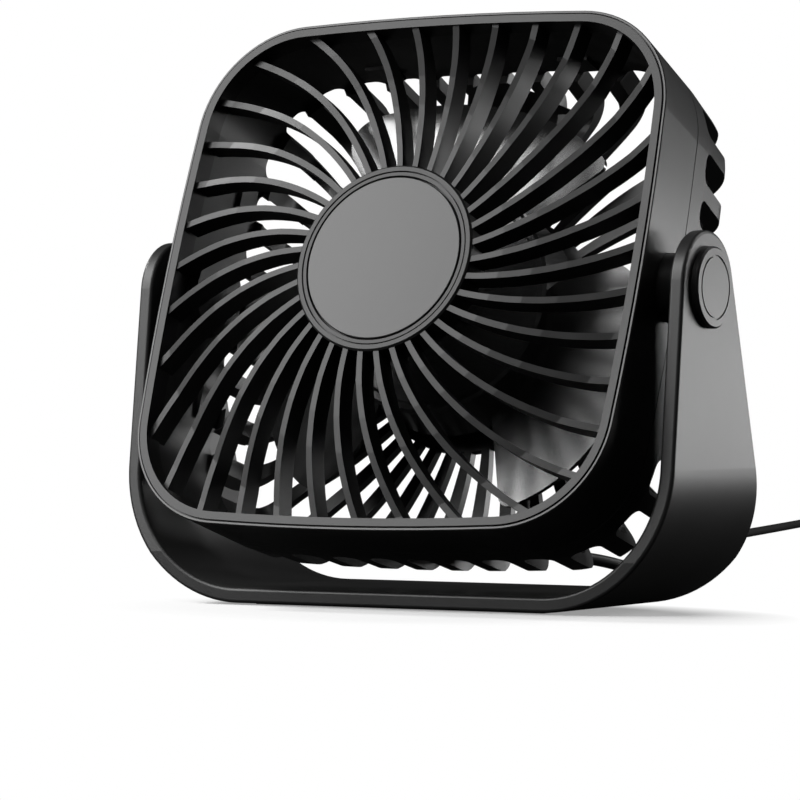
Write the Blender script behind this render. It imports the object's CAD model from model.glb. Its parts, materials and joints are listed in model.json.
"""Looks of the square USB desk fan: camera, cord, plastics, metal and light."""
import json
from math import cos, pi, radians, sin

import bpy
import bmesh
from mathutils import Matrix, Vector


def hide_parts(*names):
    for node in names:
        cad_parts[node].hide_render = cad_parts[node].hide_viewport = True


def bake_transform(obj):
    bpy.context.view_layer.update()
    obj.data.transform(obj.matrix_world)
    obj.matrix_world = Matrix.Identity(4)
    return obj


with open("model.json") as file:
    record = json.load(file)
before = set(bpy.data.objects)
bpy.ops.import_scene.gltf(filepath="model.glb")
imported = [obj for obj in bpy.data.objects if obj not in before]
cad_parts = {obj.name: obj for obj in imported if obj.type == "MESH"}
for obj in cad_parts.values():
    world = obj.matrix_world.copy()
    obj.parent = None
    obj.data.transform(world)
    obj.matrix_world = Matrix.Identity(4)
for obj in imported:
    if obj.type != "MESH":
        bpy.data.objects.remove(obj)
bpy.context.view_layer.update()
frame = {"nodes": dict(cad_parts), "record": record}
MM = 0.001

# ------------------------------------------------------------------ the frame
TILT = radians(20)
PIVOT = Vector((0, 0, 83.3)) * MM
FWD = Vector((0, -cos(TILT), sin(TILT)))
UP = Vector((0, sin(TILT), cos(TILT)))


def on_head(x, v, n):
    """Point given across, up and ahead on the head, in millimetres."""
    return PIVOT + (Vector((1, 0, 0)) * x + UP * v + FWD * n) * MM


# ------------------------------------------------------------------ materials
GRAIN_HEIGHT = 0.00002      # metres
SCRATCH_HEIGHT = 0.00001


def shader(name, **inputs):
    """New Principled material with plain values on its own sockets."""
    mat = bpy.data.materials.new(name)
    mat.use_nodes = True
    bsdf = mat.node_tree.nodes["Principled BSDF"]
    for key, value in inputs.items():
        bsdf.inputs[key.replace("_", " ")].default_value = value
    return mat, mat.node_tree, bsdf


def noise(tree, scale, detail=4.0, rough=0.55):
    """Noise in object space, so that it sticks to the part."""
    coord = tree.nodes.new("ShaderNodeTexCoord")
    node = tree.nodes.new("ShaderNodeTexNoise")
    node.inputs["Scale"].default_value = scale
    node.inputs["Detail"].default_value = detail
    node.inputs["Roughness"].default_value = rough
    tree.links.new(coord.outputs["Object"], node.inputs["Vector"])
    return node


def spread(tree, source, low, high, start=0.3, stop=0.7):
    """Value mapped from start..stop to low..high."""
    node = tree.nodes.new("ShaderNodeMapRange")
    node.inputs["From Min"].default_value = start
    node.inputs["From Max"].default_value = stop
    node.inputs["To Min"].default_value = low
    node.inputs["To Max"].default_value = high
    tree.links.new(source, node.inputs["Value"])
    return node.outputs["Result"]


def tint(tree, source, dark, light):
    """Colour between dark and light, led by a noise value."""
    ramp = tree.nodes.new("ShaderNodeValToRGB")
    ramp.color_ramp.elements[0].color = (*dark, 1)
    ramp.color_ramp.elements[1].color = (*light, 1)
    ramp.color_ramp.elements[0].position = 0.3
    ramp.color_ramp.elements[1].position = 0.7
    tree.links.new(source, ramp.inputs["Fac"])
    return ramp.outputs["Color"]


def bump(tree, bsdf, source, strength, distance):
    node = tree.nodes.new("ShaderNodeBump")
    node.inputs["Strength"].default_value = strength
    node.inputs["Distance"].default_value = distance
    tree.links.new(source, node.inputs["Height"])
    tree.links.new(node.outputs["Normal"], bsdf.inputs["Normal"])


def moulded(name, grey, rough, grain=9000, depth=0.25, vary=0.12, mottle=0.015, ior=1.49, specular=0.5):
    """Moulded plastic or rubber: fine spark-eroded grain and slow changes in gloss."""
    mat, tree, bsdf = shader(name, IOR=ior, Specular_IOR_Level=specular)
    slow = noise(tree, 60, 3)
    fine = noise(tree, grain, 2, 0.5)
    low, high = [grey * (1 - vary)] * 3, [grey * (1 + vary)] * 3
    tree.links.new(tint(tree, slow.outputs["Fac"], low, high), bsdf.inputs["Base Color"])
    gloss = spread(tree, slow.outputs["Fac"], rough - mottle, rough + mottle)
    tree.links.new(gloss, bsdf.inputs["Roughness"])
    bump(tree, bsdf, fine.outputs["Fac"], depth, GRAIN_HEIGHT)
    return mat


def metal(name, colour, rough, scratch=2500):
    """Metal with fine scratches and slow changes in tone."""
    mat, tree, bsdf = shader(name, Metallic=1.0)
    lines = noise(tree, scratch, 3)
    slow = noise(tree, 90, 2)
    tone = tint(tree, slow.outputs["Fac"], [c * 0.9 for c in colour], colour)
    gloss = spread(tree, lines.outputs["Fac"], rough - 0.06, rough + 0.08)
    tree.links.new(tone, bsdf.inputs["Base Color"])
    tree.links.new(gloss, bsdf.inputs["Roughness"])
    bump(tree, bsdf, lines.outputs["Fac"], 0.15, SCRATCH_HEIGHT)
    return mat


LOOKS = {
    "satin_black_plastic": moulded("satin_black", 0.016, 0.37),
    "stand_black_plastic": moulded("stand_black", 0.018, 0.4, mottle=0.004, specular=0.46),
    "hub_disc_plastic": moulded("hub_disc", 0.022, 0.36, grain=7000, depth=0.3, mottle=0.006,
                                specular=0.42),
    "gloss_black_plastic": moulded("gloss_black", 0.03, 0.2, grain=3000, depth=0.03, ior=2.1),
    "button_plastic": moulded("button_grey", 0.09, 0.4),
    "rubber_pad": moulded("black_rubber", 0.018, 0.7, grain=5000, depth=0.5),
    "cord_jacket": moulded("cord_jacket", 0.016, 0.45, grain=4000, depth=0.2),
    "plug_plastic": moulded("plug_black", 0.02, 0.5, grain=6000, depth=0.4),
    "bright_steel": metal("bright_steel", [0.62, 0.62, 0.63], 0.28),
    "screw_steel": metal("screw_steel", [0.3, 0.3, 0.31], 0.38),
    "plated_contact": metal("plated_contact", [0.8, 0.58, 0.25], 0.25),
    "bush_bronze": metal("bush_bronze", [0.5, 0.35, 0.18], 0.5),
    "dark_ferrite": moulded("dark_ferrite", 0.05, 0.65, grain=4000, depth=0.5),
    "board_green": moulded("board_green", 0.05, 0.35),
    "white_nylon": moulded("white_nylon", 0.55, 0.45, vary=0.04),
}
# The grille's faces are a little duller than the shells of the same plastic.
OWN = {"front_grille": moulded("grille_black", 0.012, 0.36, specular=0.28)}
green = LOOKS["board_green"].node_tree
for ramp in [n for n in green.nodes if n.type == "VALTORGB"]:
    ramp.color_ramp.elements[0].color = (0.01, 0.09, 0.03, 1)
    ramp.color_ramp.elements[1].color = (0.015, 0.13, 0.045, 1)

for part in frame["record"]["subparts"]:
    obj = frame["nodes"][part["node"]]
    for slot in obj.material_slots:
        slot.material = OWN.get(part["node"], LOOKS[part["material_slot"]])


# ----------------------------------------------------------------------- cord
CORD_D = 3.3
COIL_OUTER, COIL_INNER, COIL_Z = 19.8, 16.5, 0.5
COIL_STEPS = 16                         # control points in each turn
SHIFT_FROM, SHIFT_SPAN = 0.72, 0.22     # share of a turn where the cord moves to its next place
PLUG_Z = 4.0
EXIT = on_head(25, -55, -45) / MM
ROUTE = [(25, 33.8, 12.5), (31, 45, 10.6), (36, 58, 6.8), (34.5, 75, 3.0), (28, 93, 1.65), (14, 122, 1.65),
         (-14, 166, 1.65), (-44, 216, 1.65), (-72, 275, 1.65), (-99, 345, 1.65), (-160.5, 599, 1.65)]


def cord_route():
    """Control points of the whole cord, exit to plug, in millimetres."""
    r = CORD_D / 2
    floor = [Vector(p) for p in ROUTE]
    bend, entry = floor[-2], floor[-1]
    along = (entry - bend).normalized()
    side = Vector((along.y, -along.x, 0))
    pts = [EXIT] + floor[:-1] + [bend + along * 60, entry - along * 30]
    centre = entry + side * COIL_OUTER
    turns = [(COIL_OUTER, 0), (COIL_INNER, 0), (COIL_INNER, 1),
             (COIL_OUTER, 1), (COIL_OUTER, 2), (COIL_OUTER, 2)]
    for i in range(1, 5 * COIL_STEPS + 1):
        k, part = divmod(i, COIL_STEPS)
        ease = min(1.0, max(0.0, (part / COIL_STEPS - SHIFT_FROM) / SHIFT_SPAN))
        radius = turns[k][0] + (turns[k + 1][0] - turns[k][0]) * ease if k < 5 else COIL_OUTER
        layer = turns[k][1] + (turns[k + 1][1] - turns[k][1]) * ease if k < 5 else 2
        a = 2 * pi * i / COIL_STEPS
        reach = radius / cos(pi / COIL_STEPS)
        pts.append(centre - side * reach * cos(a) + along * reach * sin(a)
                   + Vector((0, 0, COIL_Z + r - centre.z + CORD_D * layer)))
    tail = entry + Vector((0, 0, COIL_Z + 4 * r)) + along * 26
    plug_dir = (along * 0.93 + side * 0.37).normalized()
    drop = Vector((tail.x, tail.y, PLUG_Z))
    pts += [tail + Vector((0, 0, -0.9)), drop + plug_dir * 12, drop + plug_dir * 26]
    return pts


def smooth_path(points, order=3):
    """Points along a NURBS spline with these control points, in metres."""
    data = bpy.data.curves.new("route", "CURVE")
    data.dimensions = "3D"
    data.resolution_u = 10
    spline = data.splines.new("NURBS")
    spline.points.add(len(points) - 1)
    for p, q in zip(spline.points, points):
        p.co = (*(q * MM), 1)
    spline.order_u = order
    spline.use_endpoint_u = True
    obj = bpy.data.objects.new("route", data)
    mesh = bpy.data.meshes.new_from_object(obj)
    path = [v.co.copy() for v in mesh.vertices]
    bpy.data.objects.remove(obj)
    bpy.data.meshes.remove(mesh)
    bpy.data.curves.remove(data)
    return path


def new_mesh(name, build, material):
    """Smooth mesh object made by build(bm), with its material."""
    mesh = bpy.data.meshes.new(name)
    bm = bmesh.new()
    build(bm)
    bmesh.ops.recalc_face_normals(bm, faces=bm.faces)
    bm.to_mesh(mesh)
    bm.free()
    for poly in mesh.polygons:
        poly.use_smooth = True
    obj = bpy.data.objects.new(name, mesh)
    bpy.context.scene.collection.objects.link(obj)
    mesh.materials.append(material)
    return obj


def tube(bm, path, radius, sides=14):
    """Round tube along a path, with a steady frame and closed ends."""
    rings = []
    up = Vector((0, 0, 1))
    for i, p in enumerate(path):
        d = (path[min(i + 1, len(path) - 1)] - path[max(i - 1, 0)]).normalized()
        x = up.cross(d)
        x = x.normalized() if x.length > 1e-6 else Vector((1, 0, 0))
        y = d.cross(x)
        turns = [2 * pi * k / sides for k in range(sides)]
        rings.append([bm.verts.new(p + (x * cos(a) + y * sin(a)) * radius) for a in turns])
    for a, b in zip(rings, rings[1:]):
        for k in range(sides):
            bm.faces.new((a[k], a[(k + 1) % sides], b[(k + 1) % sides], b[k]))
    bm.faces.new(rings[0][::-1])
    bm.faces.new(rings[-1])


PATH = smooth_path(cord_route())
cord = new_mesh("power_cord_line", lambda bm: tube(bm, PATH, CORD_D / 2 * MM),
                LOOKS["cord_jacket"])
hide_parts("power_cord", "cord_coil", "plug_lead")
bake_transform(cord)

# --------------------------------------------------------------------- camera
cam_data = bpy.data.cameras.new("camera")
cam_data.lens = 169.95
cam_data.sensor_width = 36
cam_data.clip_end = 100
camera = bpy.data.objects.new("camera", cam_data)
camera.location = Vector((502.5, -867.6, 56.5)) * MM
camera.rotation_euler = Vector((-0.5078, 0.8620, -0.0019)).to_track_quat("-Z", "Y").to_euler()
bpy.context.scene.collection.objects.link(camera)
bpy.context.scene.camera = camera

# ---------------------------------------------------------------------- stage
def seen_only(tree, bright, dark):
    """Mix two shaders: bright for what is looked at, dark for what it reflects."""
    path = tree.nodes.new("ShaderNodeLightPath")
    mix = tree.nodes.new("ShaderNodeMixShader")
    tree.links.new(path.outputs["Is Camera Ray"], mix.inputs["Fac"])
    tree.links.new(dark, mix.inputs[1])
    tree.links.new(bright, mix.inputs[2])
    return mix.outputs["Shader"]


# White paper near the stand, where shadows fall, fades to plain white further out.
FLOOR_HALF = 30                         # metres
FLOOR_AT = (0.016, -0.022, 0)           # middle of the shadowed oval
OVAL = (1, 1.7, 1)
FADE_FROM, FADE_TO = 0.07, 0.1
floor_mat = bpy.data.materials.new("floor")
floor_mat.use_nodes = True
floor_tree = floor_mat.node_tree
paper = floor_tree.nodes["Principled BSDF"]
paper_tone = tint(floor_tree, noise(floor_tree, 3).outputs["Fac"], (0.97, 0.97, 0.97), (1, 1, 1))
floor_tree.links.new(paper_tone, paper.inputs["Base Color"])
paper.inputs["Roughness"].default_value = 0.9
glow = floor_tree.nodes.new("ShaderNodeEmission")
place = floor_tree.nodes.new("ShaderNodeTexCoord")
oval = floor_tree.nodes.new("ShaderNodeVectorMath")
oval.operation = "MULTIPLY"
oval.inputs[1].default_value = OVAL
reach = floor_tree.nodes.new("ShaderNodeVectorMath")
reach.operation = "LENGTH"
floor_tree.links.new(place.outputs["Object"], oval.inputs[0])
floor_tree.links.new(oval.outputs["Vector"], reach.inputs[0])
sweep_up = floor_tree.nodes.new("ShaderNodeMixShader")
fade = spread(floor_tree, reach.outputs["Value"], 0.3, 1.0, FADE_FROM, FADE_TO)
floor_tree.links.new(fade, sweep_up.inputs["Fac"])
floor_tree.links.new(paper.outputs["BSDF"], sweep_up.inputs[1])
floor_tree.links.new(glow.outputs["Emission"], sweep_up.inputs[2])
shade = floor_tree.nodes.new("ShaderNodeBsdfDiffuse")
shade.inputs["Color"].default_value = (0.03, 0.03, 0.03, 1)
floor_tree.links.new(seen_only(floor_tree, sweep_up.outputs["Shader"], shade.outputs["BSDF"]),
                     floor_tree.nodes["Material Output"].inputs["Surface"])
floor_mesh = bpy.data.meshes.new("floor")
bm = bmesh.new()
bmesh.ops.create_grid(bm, x_segments=1, y_segments=1, size=FLOOR_HALF)
bm.to_mesh(floor_mesh)
bm.free()
floor = bpy.data.objects.new("floor", floor_mesh)
floor_mesh.materials.append(floor_mat)
floor.location = FLOOR_AT
bpy.context.scene.collection.objects.link(floor)

world = bpy.data.worlds.new("world")
bpy.context.scene.world = world
world.use_nodes = True
sky = world.node_tree
backdrop = sky.nodes["Background"]
backdrop.inputs["Color"].default_value = (1, 1, 1, 1)
backdrop.inputs["Strength"].default_value = 1.0
room = sky.nodes.new("ShaderNodeBackground")
room.inputs["Color"].default_value = (1, 1, 1, 1)
room.inputs["Strength"].default_value = 0.03
sky.links.new(seen_only(sky, backdrop.outputs["Background"], room.outputs["Background"]),
              sky.nodes["World Output"].inputs["Surface"])


def soft_light(name, place, target, size, power):
    """Rectangular area light that looks at a point."""
    data = bpy.data.lights.new(name, "AREA")
    data.shape = "RECTANGLE"
    data.size, data.size_y = size
    data.energy = power
    obj = bpy.data.objects.new(name, data)
    obj.location = place
    obj.rotation_euler = (Vector(target) - Vector(place)).to_track_quat("-Z", "Y").to_euler()
    bpy.context.scene.collection.objects.link(obj)


soft_light("key", (-1.15, -1.25, 1.15), (0, 0, 0.08), (1.25, 1.25), 42)
soft_light("glint_low", (-0.96, -1.25, 0.3), (0.04, 0, 0.06), (0.25, 0.5), 2.4)
soft_light("glint_left", (-1.3, -0.08, 1.02), (-0.03, 0, 0.04), (0.35, 0.35), 12)
soft_light("glint_top", (0.06, -1.0, 1.27), (0, 0, 0.12), (0.3, 0.3), 3.5)
soft_light("back", (0.5, 0.68, 0.055), (0.08, 0, 0.055), (0.5, 0.14), 1.85)
soft_light("behind", (1.0, 1.25, 0.95), (0, 0, 0.08), (0.8, 0.8), 8)
bpy.context.scene.view_settings.view_transform = "Standard"
